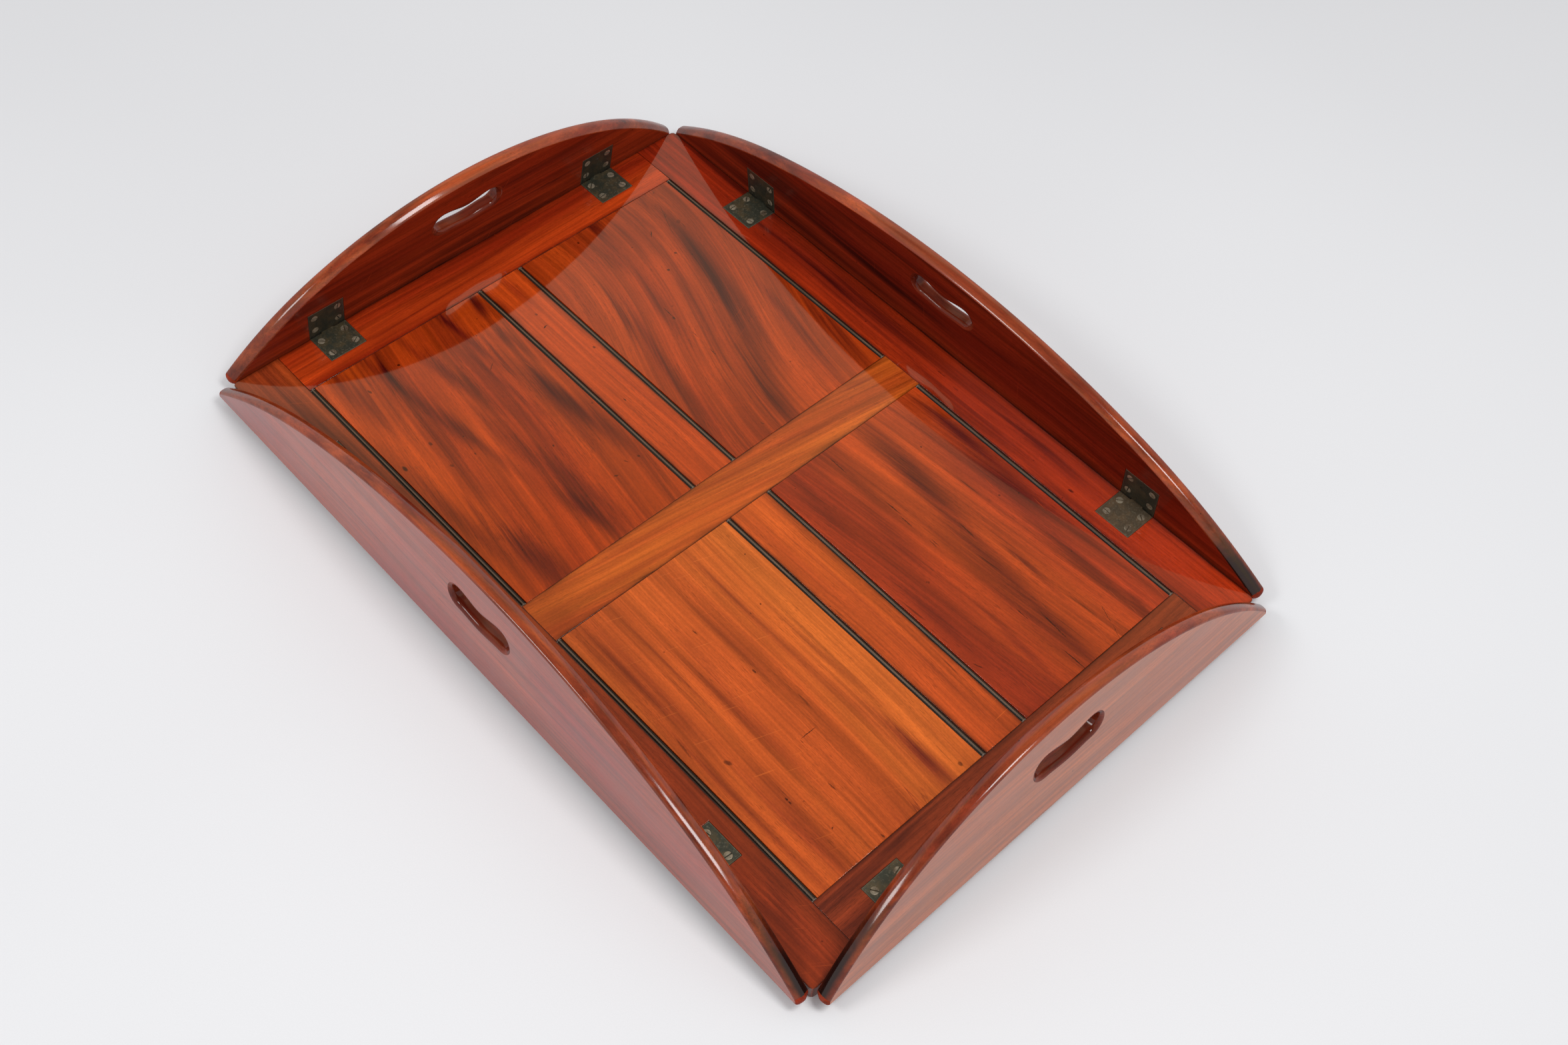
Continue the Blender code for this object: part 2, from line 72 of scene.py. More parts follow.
LONG = dict(reach=base_width / 2, half=long_half, height=0.1010, flatness=1.09, hole=(0.0606, 0.0092), lean=6.6,
            hinges=0.240)
SHORT = dict(reach=base_length / 2, half=short_half, height=0.1005, flatness=1.035, hole=(0.0570, 0.0104), lean=9.8,
             hinges=0.1555)
SIDES = {
    "front": dict(turn=-math.pi / 2, **LONG),
    "back": dict(turn=math.pi / 2, **LONG),
    "left": dict(turn=math.pi, **SHORT),
    "right": dict(turn=0.0, **SHORT),
}

# The rim's section: the depth from the inner face as a share, and the drop from the crown in mm
RIM = (
    (0, 3.6), (0.015, 3.1), (0.05, 2.55), (0.12, 1.95), (0.2, 1.35), (0.28, 0.8), (0.35, 0.38),
    (0.42, 0.12), (0.5, 0), (0.6, 0.03), (0.7, 0.15), (0.8, 0.4), (0.88, 0.75), (0.94, 1.25),
    (0.98, 1.95), (1, 2.9),
)


# Mesh tools


def mesh_of(bm, name="piece"):
    bmesh.ops.recalc_face_normals(bm, faces=bm.faces)
    mesh = bpy.data.meshes.new(name)
    bm.to_mesh(mesh)
    bm.free()
    return mesh


def lofted(loops):
    bm = bmesh.new()
    rings = [[bm.verts.new(point) for point in loop] for loop in loops]
    for lower, upper in zip(rings, rings[1:]):
        for index in range(len(lower)):
            after = (index + 1) % len(lower)
            bm.faces.new((lower[index], lower[after], upper[after], upper[index]))
    bm.faces.new(rings[0])
    bm.faces.new(rings[-1])
    return mesh_of(bm)


def box(x_range, y_range, z_range):
    (x0, x1), (y0, y1) = sorted(x_range), sorted(y_range)
    return lofted([[(x0, y0, z), (x1, y0, z), (x1, y1, z), (x0, y1, z)] for z in z_range])


def turned(profile, sides):
    angles = [2 * math.pi * step / sides for step in range(sides)]
    return lofted([[(r * math.cos(a), r * math.sin(a), z) for a in angles] for r, z in profile])


def moved(mesh, matrix):
    mesh.transform(matrix)
    return mesh


def joined(meshes):
    bm = bmesh.new()
    for mesh in meshes:
        bm.from_mesh(mesh)
    result = bpy.data.meshes.new("joined")
    bm.to_mesh(result)
    bm.free()
    return result


def cut(mesh, tools):
    body = bpy.data.objects.new("body", mesh)
    bpy.context.collection.objects.link(body)
    helpers = [body]
    for tool_mesh in tools:
        tool = bpy.data.objects.new("tool", tool_mesh)
        bpy.context.collection.objects.link(tool)
        helpers.append(tool)
        modifier = body.modifiers.new("boolean", "BOOLEAN")
        modifier.operation = "DIFFERENCE"
        modifier.solver = "EXACT"
        modifier.object = tool
    graph = bpy.context.evaluated_depsgraph_get()
    result = bpy.data.meshes.new_from_object(body.evaluated_get(graph))
    for helper in helpers:
        bpy.data.objects.remove(helper, do_unlink=True)
    return result


def piece(name, mesh, materials, body, replaced=(), place=None, bevel=0):
    """A piece of the scene: shaded smooth with flat faces kept flat, riding on a body."""
    mesh.name = name
    for material in materials:
        mesh.materials.append(material)
    mesh.shade_smooth()
    mesh.set_sharp_from_angle(angle=math.radians(40))
    item = bpy.data.objects.new(name, mesh)
    bpy.context.collection.objects.link(item)
    if place is not None:
        item.matrix_world = place
    if bevel:
        modifier = item.modifiers.new("bevel", "BEVEL")
        modifier.width = bevel
        modifier.segments = 2
        modifier.limit_method = "ANGLE"
        modifier.angle_limit = math.radians(40)
    modifier = item.modifiers.new("normals", "WEIGHTED_NORMAL")
    modifier.keep_sharp = True
    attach(item, body)
    if replaced:
        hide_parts(*replaced)
    return item


# Shader tools


class Shader:
    """Short calls for building one procedural material."""

    def __init__(self, name):
        self.material = bpy.data.materials.new(name)
        self.material.use_nodes = True
        self.tree = self.material.node_tree
        self.bsdf = self.tree.nodes["Principled BSDF"]
        self.coordinates = self.tree.nodes.new("ShaderNodeTexCoord").outputs["Object"]

    def node(self, kind, settings=None, **inputs):
        made = self.tree.nodes.new("ShaderNode" + kind)
        for key, value in (settings or {}).items():
            setattr(made, key, value)
        for key, value in inputs.items():
            self.feed(made.inputs[key.replace("_", " ")], value)
        return made

    def feed(self, socket, value):
        if isinstance(value, bpy.types.NodeSocket):
            self.tree.links.new(value, socket)
        else:
            socket.default_value = value

    def maths(self, operation, first, second=0.0, third=None, clamp=False):
        made = self.tree.nodes.new("ShaderNodeMath")
        made.operation = operation
        made.use_clamp = clamp
        self.feed(made.inputs[0], first)
        self.feed(made.inputs[1], second)
        if third is not None:
            self.feed(made.inputs[2], third)
        return made.outputs[0]

    def mapped(self, vector, scale=(1, 1, 1), turn=0.0, shift=(0, 0, 0)):
        """The vector turned about Z, then stretched, then shifted."""
        turned_vector = self.node("VectorRotate", {"rotation_type": "Z_AXIS"}, Vector=vector, Angle=turn)
        made = self.node("Mapping", Vector=turned_vector.outputs[0], Scale=scale, Location=shift)
        return made.outputs[0]

    def noise(self, vector, scale=1.0, detail=2.0, roughness=0.5, distortion=0.0):
        made = self.node("TexNoise", Vector=vector, Scale=scale, Detail=detail, Roughness=roughness,
                         Distortion=distortion)
        return made.outputs["Fac"]

    def span(self, value, low, high, to_low=0.0, to_high=1.0):
        made = self.node("MapRange", {"interpolation_type": "SMOOTHSTEP"})
        for index, number in enumerate((value, low, high, to_low, to_high)):
            self.feed(made.inputs[index], number)
        return made.outputs[0]

    def mix(self, amount, first, second, blend="MIX"):
        made = self.tree.nodes.new("ShaderNodeMix")
        made.data_type = "RGBA"
        made.blend_type = blend
        self.feed(made.inputs["Factor"], amount)
        for socket, value in ((made.inputs["A"], first), (made.inputs["B"], second)):
            colour = [s for s in made.inputs if s.name == socket.name and s.type == "RGBA"][0]
            self.feed(colour, value if isinstance(value, bpy.types.NodeSocket) else (*value, 1))
        return [s for s in made.outputs if s.type == "RGBA"][0]

    def ramp(self, value, stops):
        made = self.node("ValToRGB", Fac=value)
        elements = made.color_ramp.elements
        while len(elements) < len(stops):
            elements.new(0.5)
        for element, (position, colour) in zip(elements, stops):
            element.position = position
            element.color = (*colour, 1)
        return made.outputs[0]

    def bump(self, height, strength, distance, normal=None):
        made = self.node("Bump", Height=height, Strength=strength, Distance=distance)
        if normal is not None:
            self.feed(made.inputs["Normal"], normal)
        return made.outputs[0]

    def plus(self, first, second):
        made = self.node("VectorMath", {"operation": "ADD"})
        self.feed(made.inputs[0], first)
        self.feed(made.inputs[1], second)
        return made.outputs[0]

    def stroked(self, vector, strokes, inner, outer):
        """What is left of 1 under all the strokes, each fading from inner to outer half widths."""
        kept = 1.0
        for x0, y0, x1, y1, half_width, strength in strokes:
            length = math.hypot(x1 - x0, y1 - y0) / 2000
            local = self.node("Mapping", {"vector_type": "TEXTURE"}, Vector=vector,
                              Location=((x0 + x1) / 2000, (y0 + y1) / 2000, 0),
                              Rotation=(0, 0, math.atan2(y1 - y0, x1 - x0)),
                              Scale=(length + half_width / 1000, half_width / 1000, 1000))
            away = self.node("VectorMath", {"operation": "LENGTH"})
            self.feed(away.inputs[0], local.outputs[0])
            kept = self.maths("MULTIPLY", kept, self.span(away.outputs["Value"], inner, outer, 1 - strength, 1.0))
        return kept

    def axes(self):
        return self.node("SeparateXYZ", Vector=self.coordinates).outputs


def scaled(colour, factor):
    return tuple(channel * factor for channel in colour)


def wood(name, grain, light, mid, dark, seed, slant=0.0, clouds=0.4, strokes=(), marks=(), tone=(2.0, 11),
         edges=None, edge_grime_and_shade=0.3, coat=0.05, tint=None, polish=1.0, sheen=0.0, spots=0.0, ribbons=0.72,
         bend=None):
    """French polished wood with its figure along X (grain 0) or Y (grain 1) of the object.

    A stroke is one dark streak of the figure: its two ends, its half width (all in mm) and its strength.
    A mark is a spot, dash or crack in the same form.
    """
    s = Shader(name)
    turn = -math.pi / 2 * grain + slant
    shift = (seed * 3.71, seed * 1.93, seed * 0.77)
    straight = s.mapped(s.coordinates, (1, 1, 1), turn)
    sway = s.noise(s.mapped(s.coordinates, (4, 4, 4), turn, shift), detail=1)
    offset = s.maths("MULTIPLY", s.maths("SUBTRACT", sway, 0.5), 0.014)
    if bend:
        offset = s.maths("ADD", offset, s.span(s.axes()[grain], *bend))
    aside = s.node("CombineXYZ", X=0.0, Y=offset, Z=0.0)
    flow = s.plus(straight, aside.outputs[0])

    feather = s.noise(s.mapped(flow, (4, 130, 130), 0, shift), detail=3, roughness=0.6)
    ragged = s.noise(s.mapped(s.coordinates, (16, 34, 34), turn, shift), detail=3, roughness=0.55)
    tone_noise = s.noise(s.mapped(flow, (tone[0], tone[1], tone[1]), 0, shift), detail=3, roughness=0.5)
    colour = s.mix(s.span(tone_noise, 0.34, 0.66), mid, light)

    # Dark clouds that taper out along the grain, strewn by noise and then placed one by one
    cloud = s.noise(s.mapped(flow, (3.4, 24, 24), 0, shift), detail=4, roughness=0.55)
    cloud = s.maths("ADD", cloud, s.maths("MULTIPLY", s.maths("SUBTRACT", feather, 0.5), 0.22))
    kept = s.span(cloud, 0.50, 0.66, 1.0, 1 - clouds)
    ribbon = s.noise(s.mapped(flow, (1.7, 42, 42), 0, shift), detail=4, roughness=0.6)
    kept = s.maths("MULTIPLY", kept, s.span(ribbon, 0.42, 0.62, 1.0, ribbons))
    if strokes:
        bend = s.noise(s.mapped(s.coordinates, (5, 18, 18), turn, shift), detail=2)
        run = s.maths("MULTIPLY", s.maths("SUBTRACT", feather, 0.5), 0.13)
        side = s.maths("MULTIPLY", s.maths("SUBTRACT", bend, 0.5), 0.006)
        strayed = s.plus(s.coordinates, s.node("CombineXYZ", X=side if grain else run, Y=run if grain else side,
                                               Z=0.0).outputs[0])
        kept = s.maths("MULTIPLY", kept, s.stroked(strayed, strokes, 0.1, 1.55))
    shade = s.maths("MULTIPLY", s.maths("SUBTRACT", 1.0, kept), s.span(feather, 0.3, 0.7, 0.7, 1.3), clamp=True)
    colour = s.mix(shade, colour, dark)

    # Fine lines of the grain, pores, spots and scratches
    bands = s.noise(s.mapped(flow, (2.2, 80, 80), 0, shift), detail=4, roughness=0.65)
    lines = s.noise(s.mapped(flow, (4, 230, 230), 0, shift), detail=2)
    hair = s.noise(s.mapped(flow, (7, 460, 460), 0, shift), detail=3, roughness=0.65)
    pores = s.noise(s.mapped(flow, (110, 1500, 1500), 0, shift), detail=1)
    stain = s.noise(s.mapped(s.coordinates, (20, 26, 26), turn, shift), detail=5, roughness=0.65)
    mottle = s.noise(s.mapped(s.coordinates, (420, 700, 700), turn, shift), detail=2, roughness=0.6)
    value = s.maths("MULTIPLY", s.span(bands, 0.3, 0.7, 0.76, 1.2), s.span(hair, 0.3, 0.7, 0.86, 1.1))
    value = s.maths("MULTIPLY", value, s.span(lines, 0.3, 0.7, 0.88, 1.10))
    open_pores = s.span(stain, 0.42, 0.6, 1.0, 0.72)
    value = s.maths("MULTIPLY", value, s.span(pores, 0.34, 0.44, open_pores, 1.0))
    value = s.maths("MULTIPLY", value, s.span(stain, 0.3, 0.7, 0.9, 1.06))
    value = s.maths("MULTIPLY", value, s.span(mottle, 0.3, 0.7, 0.93, 1.06))
    cracks = s.noise(s.mapped(flow, (16, 330, 330), 0, shift), detail=1)
    cracked = s.maths("MULTIPLY", s.span(cracks, 0.70, 0.78), s.span(ragged, 0.5, 0.62))
    value = s.maths("MULTIPLY", value, s.span(cracked, 0.0, 1.0, 1.0, 0.5))
    for scale, least, most in ((24.0, 0.66, 0.05), (70.0, 0.60, 0.06)):
        dots = s.node("TexVoronoi", {"feature": "F1"}, Vector=s.mapped(s.coordinates, (1, 1, 1), 0, shift),
                      Scale=scale, Randomness=1.0)
        chance = s.node("SeparateColor", Color=dots.outputs["Color"]).outputs[0]
        size = s.span(chance, least - spots, 1.0, -0.02, most)
        rough_edge = s.maths("ADD", dots.outputs["Distance"], s.maths("MULTIPLY", mottle, 0.03))
        spot = s.span(s.maths("SUBTRACT", rough_edge, size), 0.0, 0.03, 0.45, 1.0)
        value = s.maths("MULTIPLY", value, spot)
    if marks:
        shaken = s.maths("MULTIPLY", s.maths("SUBTRACT", mottle, 0.5), 0.0016)
        shaken = s.plus(s.coordinates, s.node("CombineXYZ", X=shaken, Y=shaken, Z=0.0).outputs[0])
        value = s.maths("MULTIPLY", value, s.stroked(shaken, marks, 0.5, 1.1))
    nicks = s.noise(s.mapped(s.coordinates, (22, 600, 600), turn + 0.9 + seed, shift), detail=1)
    scratch = s.maths("MULTIPLY", s.span(nicks, 0.72, 0.77), s.span(sway, 0.48, 0.62))

    # A darker band within 5 mm of the piece's edges, partly grime in the joints and partly painted shade, and a
    # thin dark line at each joint
    if edges:
        x, y = s.axes()[0], s.axes()[1]
        (x0, x1), (y0, y1) = edges
        gaps = [s.maths("SUBTRACT", x, x0), s.maths("SUBTRACT", x1, x), s.maths("SUBTRACT", y, y0),
                s.maths("SUBTRACT", y1, y)]
        near = s.maths("MINIMUM", s.maths("MINIMUM", gaps[0], gaps[1]), s.maths("MINIMUM", gaps[2], gaps[3]))
        near = s.maths("ADD", near, s.maths("MULTIPLY", s.maths("SUBTRACT", stain, 0.5), 0.008))
        line = s.maths("MINIMUM", s.maths("MINIMUM", gaps[0], gaps[1]), s.maths("MINIMUM", gaps[2], gaps[3]))
        value = s.maths("MULTIPLY", value, s.span(near, 0.0, 0.005, 1 - edge_grime_and_shade, 1.0))
        value = s.maths("MULTIPLY", value, s.span(line, 0.0004, 0.0013, s.span(stain, 0.4, 0.6, 0.35, 0.7), 1.0))
    grey = s.node("CombineColor", Red=value, Green=value, Blue=value).outputs[0]
    colour = s.mix(1.0, colour, grey, "MULTIPLY")
    colour = s.mix(s.maths("MULTIPLY", scratch, 0.3), colour, scaled(light, 1.3))
    if tint is not None:
        colour = tint(s, colour, stain)
    s.feed(s.bsdf.inputs["Base Color"], colour)

    ripple = s.noise(s.mapped(s.coordinates, (22, 22, 22), turn, shift), detail=2)
    polish_bump = s.bump(ripple, 0.06, 0.001)
    polish_bump = s.bump(scratch, 0.2, 0.0001, polish_bump)
    s.feed(s.bsdf.inputs["Normal"], s.bump(s.maths("MULTIPLY", hair, pores), 0.2, 0.0003))
    s.feed(s.bsdf.inputs["Coat Normal"], polish_bump)
    s.feed(s.bsdf.inputs["Roughness"], s.span(stain, 0.3, 0.7, 0.5, 0.62))
    s.bsdf.inputs["Specular IOR Level"].default_value = sheen
    s.bsdf.inputs["Coat Weight"].default_value = polish
    s.bsdf.inputs["Coat Roughness"].default_value = coat
    s.bsdf.inputs["Coat IOR"].default_value = 1.5
    return s.material


def metal(name, base, stain, edge, roughness, seed, outline=None, metallic=0.85):
    """Old metal: a dark skin with browner clouds, and paler edges where hands have worn it."""
    s = Shader(name)
    shift = (seed * 2.3, seed * 1.1, seed * 0.7)
    cloud = s.noise(s.mapped(s.coordinates, (90, 90, 90), 0, shift), detail=4, roughness=0.65)
    speck = s.noise(s.mapped(s.coordinates, (520, 520, 520), 0, shift), detail=2, roughness=0.6)
    colour = s.mix(s.span(cloud, 0.42, 0.66), base, stain)
    colour = s.mix(s.span(speck, 0.55, 0.75, 0.0, 0.35), colour, edge)
    if outline:
        (x0, x1), half = outline
        x, y = s.axes()[0], s.axes()[1]
        side = s.maths("SUBTRACT", half, s.maths("ABSOLUTE", y))
        ends = s.maths("MINIMUM", s.maths("SUBTRACT", x, x0), s.maths("SUBTRACT", x1, x))
        near = s.maths("ADD", s.maths("MINIMUM", side, ends), s.maths("MULTIPLY", cloud, 0.0012))
        colour = s.mix(s.span(near, 0.0, 0.0016, 0.55, 0.0), colour, edge)
    s.feed(s.bsdf.inputs["Base Color"], colour)
    s.feed(s.bsdf.inputs["Roughness"], s.span(speck, 0.3, 0.7, roughness - 0.08, roughness + 0.12))
    s.feed(s.bsdf.inputs["Normal"], s.bump(s.maths("ADD", cloud, s.maths("MULTIPLY", speck, 0.4)), 0.3, 0.0004))
    s.bsdf.inputs["Metallic"].default_value = metallic
    return s.material


# Base frame


def refined(node, material, bevel=0.00035):
    """A copy of a solid with its flat faces whole again and its sharp edges eased."""
    bm = bmesh.new()
    bm.from_mesh(nodes[node].data)
    bmesh.ops.remove_doubles(bm, verts=bm.verts, dist=1e-6)
    bmesh.ops.dissolve_limit(bm, angle_limit=math.radians(1), verts=bm.verts, edges=bm.edges)
    return piece(node + "_polished", mesh_of(bm), [material], "base", [node], bevel=bevel)


def extent(node):
    low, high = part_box(node)
    return (low.x, high.x), (low.y, high.y)


BASE_WOODS = {
    "front_stile": dict(grain=0, light=(0.46, 0.072, 0.014), mid=(0.32, 0.040, 0.009), dark=(0.12, 0.016, 0.006),
                        seed=1.3, clouds=0.5, strokes=(
        (-345, -230, -130, -215, 16, 0.8), (150, -240, 235, -240, 9, 0.5), (285, -222, 325, -232, 8, 0.45), (60, -215, 180, -212, 4, 0.35),
    )),
    "back_stile": dict(grain=0, light=(0.43, 0.034, 0.006), mid=(0.28, 0.018, 0.004), dark=(0.06, 0.004, 0.003),
                       seed=2.1, marks=(
        (191.5, 222, 195, 222.4, 1.5, 0.7), (20, 232, 34, 232, 0.5, 0.6), (44, 229, 52, 229, 0.5, 0.6),
    ), clouds=0.3, strokes=(
        (-250, 236, 60, 240, 9, 0.85), (60, 243, 200, 238, 6, 0.6), (-330, 252, -180, 250, 5, 0.5),
        (-10, 221, 140, 222, 2, 0.5), (160, 213, 240, 213, 2.5, 0.4), (-120, 226, 10, 224, 2.5, 0.35),
    )),
    "left_end_rail": dict(grain=1, light=(0.56, 0.056, 0.007), mid=(0.4, 0.029, 0.005), dark=(0.14, 0.008, 0.003),
                          seed=3.4, clouds=0.3, tone=(2.0, 45), strokes=(
        (-349, -40, -351, 90, 2.5, 0.5), (-333, -140, -341, 20, 1.6, 0.5), (-363, -190, -360, -20, 1.6, 0.5),
        (-366, 120, -362, 200, 4, 0.6), (-335, 120, -340, 190, 3, 0.45), (-345, -200, -350, -120, 2, 0.5),
    )),
    "right_end_rail": dict(grain=1, light=(0.34, 0.052, 0.013), mid=(0.21, 0.028, 0.009),
                           dark=(0.08, 0.012, 0.006), seed=4.2, clouds=0.6),
    "left_muntin": dict(grain=0, light=(0.64, 0.088, 0.01), mid=(0.53, 0.06, 0.007), dark=(0.2, 0.018, 0.005),
                        seed=5.6, marks=(
        (-200.5, 13.3, -199, 13.3, 1.2, 0.7), (-265, -1.7, -264, -1.7, 1.4, 0.5),
        (-248, -3, -246.8, -6.5, 0.9, 0.85), (-136, -5.2, -133.5, -5.2, 0.8, 0.7),
    ), clouds=0.15, strokes=(
        (-322, 4, -270, 2, 5, 0.6), (-320, -18, -265, -17, 4, 0.5), (-200, 8, -60, 14, 5, 0.3),
    )),
    "right_muntin": dict(grain=0, light=(0.78, 0.145, 0.015), mid=(0.53, 0.075, 0.011), dark=(0.24, 0.032, 0.008),
                         seed=6.9, clouds=0.1, strokes=(
        (60, 2, 320, 5, 3.5, 0.4), (120, -3, 240, -2, 2, 0.3), (30, 16, 200, 17, 3, 0.25),
    )),
    "cross_rail": dict(grain=1, light=(0.59, 0.126, 0.013), mid=(0.48, 0.074, 0.01), dark=(0.24, 0.026, 0.006),
                       seed=7.7, clouds=0.2, slant=0.14, tone=(3.0, 26), strokes=(
        (-2, 0, 12, 70, 4, 0.4), (-14, 60, 2, 120, 3.5, 0.35), (-18, -160, -4, -60, 4, 0.3),
        (8, 130, 18, 190, 3, 0.4), (12, 20, 20, 60, 3, 0.3), (-20, 150, -8, 200, 3, 0.45),
    )),
    "left_front_panel": dict(grain=0, light=(0.54, 0.066, 0.005), mid=(0.34, 0.032, 0.0035),
                             dark=(0.08, 0.004, 0.003), seed=8.3, marks=(
        (-199, -196.7, -195, -196.7, 2, 0.8), (-206, -164.2, -204, -164.2, 1.7, 0.6),
        (-175, -165, -173, -164, 1.4, 0.5), (-135.5, -85.3, -134.5, -85.3, 1.1, 0.7),
        (-75.5, -66.5, -74, -64, 1, 0.6), (-288, -170, -284, -169.3, 1.3, 0.65),
        (-244, -66.7, -237.5, -75, 0.5, 0.6), (-295.5, -132.5, -295, -132.5, 1.4, 0.8),
        (-83, -49.5, -80, -48, 0.8, 0.5), (-79, -36.7, -78.5, -36.7, 1.3, 0.6),
        (-172, -141.5, -171, -141.5, 1, 0.6),
    ), slant=0.14, clouds=0.3, strokes=(
        (-235, -56, -83, -36, 11.7, 0.75), (-325, -37, -287, -36, 7.5, 0.85), (-325, -73, -242, -64, 4.2, 0.6),
        (-283, -46, -225, -36, 6.7, 0.5), (-325, -113, -205, -95, 8, 0.75), (-325, -154, -142, -127, 7, 0.8),
        (-195, -112, -20, -89, 10, 0.6), (-108, -114, -17, -101, 8.3, 0.8), (-92, -178, -17, -164, 15, 0.7),
        (-325, -184, -242, -178, 11.7, 0.5), (-175, -194, -42, -191, 8.3, 0.5), (-250, -78, -158, -69, 3.3, 0.4),
        (-158, -59, -92, -57, 5, 0.3),
    )),
    "left_back_panel": dict(grain=0, light=(0.47, 0.056, 0.006), mid=(0.34, 0.032, 0.004),
                            dark=(0.07, 0.004, 0.003), seed=9.8, marks=(
        (-229.5, 127.5, -229, 127.5, 1.5, 0.75), (-242, 147, -241.5, 147, 1.3, 0.7),
        (-279, 148.3, -271.7, 143, 0.6, 0.8), (-197, 92.5, -179, 92, 0.5, 0.8),
        (-181, 91.8, -179, 91.5, 1.2, 0.7), (-157.5, 93.3, -148, 93.3, 0.4, 0.7),
        (-132, 92, -121, 91.3, 0.4, 0.7), (-303, 178.3, -258, 160, 0.4, 0.5),
        (-272, 177, -271, 176, 2.5, 0.35), (-311, 85, -310, 85, 1.2, 0.7), (-37, 69, -34, 70.5, 0.7, 0.5),
    ), slant=-0.02, bend=(-0.31, 0.0, 0.0, 0.075), clouds=0.25, strokes=(
        (-253, 172, -20, 92, 15, 0.45), (-253, 170, -103, 132, 12, 0.7), (-120, 120, -20, 91, 9, 0.6),
        (-240, 69, -90, 35, 7, 0.75), (-322, 100, -290, 98, 30, 0.35),
        (-100, 93, -25, 77, 3, 0.6), (-158, 182, -20, 160, 5.8, 0.5), (-117, 203, -20, 188, 7.5, 0.55),
        (-250, 103, -142, 82, 6.7, 0.4), (-320, 152, -267, 150, 4.2, 0.4), (-315, 132, -258, 123, 6.7, 0.4),
        (-322, 177, -312, 167, 6.7, 0.5), (-300, 103, -258, 97, 6.7, 0.4), (-120, 50, -20, 30, 6.7, 0.35),
        (-320, 112, -303, 108, 8.3, 0.55),
    )),
    "right_front_panel": dict(grain=0, light=(0.62, 0.13, 0.018), mid=(0.5, 0.082, 0.013),
                              dark=(0.17, 0.018, 0.007), seed=10.4, marks=(
        (192.5, -179, 196, -177.5, 2.2, 0.6), (216.2, -105, 216.2, -121.7, 0.5, 0.8),
        (216.5, -122.3, 220, -122.6, 0.4, 0.6), (313, -43.3, 315, -43.3, 1.8, 0.6),
        (103, -60.3, 103.5, -60.3, 1, 0.7), (104.3, -72.5, 104.8, -72.5, 0.8, 0.6),
        (145, -107.5, 149.5, -107.5, 0.8, 0.7), (86, -119.3, 91, -118.8, 0.7, 0.6),
        (258, -132, 266, -131.6, 0.9, 0.6), (245.5, -165.5, 248, -165.5, 0.7, 0.8),
        (249.5, -165.5, 252, -165.5, 0.7, 0.8), (150, -194.2, 175, -196.7, 0.9, 0.5),
        (287, -155.6, 288, -156.4, 0.8, 0.7), (316, -132, 319, -131.5, 1, 0.6),
    ), slant=0.03, clouds=0.15, ribbons=0.92, tone=(1.4, 16),
                              strokes=(
        (170, -69, 325, -62, 8.3, 0.6), (270, -62, 328, -61, 10, 0.7), (120, -56, 237, -51, 4.2, 0.35),
        (28, -74, 170, -73, 4.2, 0.45), (62, -104, 170, -102, 5, 0.35), (70, -129, 162, -134, 6.7, 0.3),
        (120, -141, 228, -139, 6.7, 0.45), (212, -172, 328, -174, 9.2, 0.6), (20, -178, 187, -178, 4.2, 0.4),
        (37, -186, 170, -184, 4.2, 0.45), (153, -194, 325, -194, 2, 0.45), (320, -83, 324, -111, 3.3, 0.5),
        (45, -156, 170, -157, 1.3, 0.35), (50, -92, 170, -89, 1.3, 0.3),
    )),
    "right_back_panel": dict(grain=0, light=(0.53, 0.068, 0.009), mid=(0.38, 0.035, 0.007),
                             dark=(0.1, 0.007, 0.004), seed=11.9, marks=(
        (95, 91.5, 115, 92, 0.6, 0.8), (115, 90.3, 130, 89.7, 0.5, 0.8), (30, 87.5, 53, 87.5, 0.6, 0.7),
        (148, 93.3, 160, 93, 0.4, 0.8), (149, 91, 160, 90.7, 0.4, 0.8), (243, 95.8, 260, 95.8, 0.4, 0.8),
        (295, 95.7, 325, 96.2, 0.6, 0.8), (257, 109.2, 295, 106, 0.6, 0.7),
        (288, 152.5, 307, 145.3, 0.35, 0.7), (307, 145.3, 325, 137.5, 0.35, 0.6),
        (74, 157.5, 74.5, 157.5, 1.2, 0.6), (155.5, 171.3, 156, 171.3, 1, 0.6),
        (152, 123.7, 175, 122, 0.7, 0.6), (257.5, 30.3, 266, 33.3, 0.8, 0.6),
    ), slant=-0.09, clouds=0.3, strokes=(
        (20, 136, 145, 127, 13, 0.75), (60, 131, 328, 104, 9, 0.5), (53, 195, 195, 188, 10, 0.75),
        (170, 175, 325, 170, 7.5, 0.7), (295, 180, 328, 172, 6.7, 0.6), (178, 138, 270, 133, 3.7, 0.5),
        (162, 105, 325, 100, 10, 0.45), (253, 109, 325, 107, 3.7, 0.6), (28, 87, 137, 87, 6.7, 0.5),
        (78, 77, 170, 67, 10, 0.45), (20, 45, 103, 43, 6.7, 0.4), (162, 43, 270, 38, 8.3, 0.5),
        (237, 75, 325, 72, 3.7, 0.5),
    )),
}

for node, look in BASE_WOODS.items():
    refined(node, wood(node + "_wood", edges=extent(node), **look))


# Bead strips


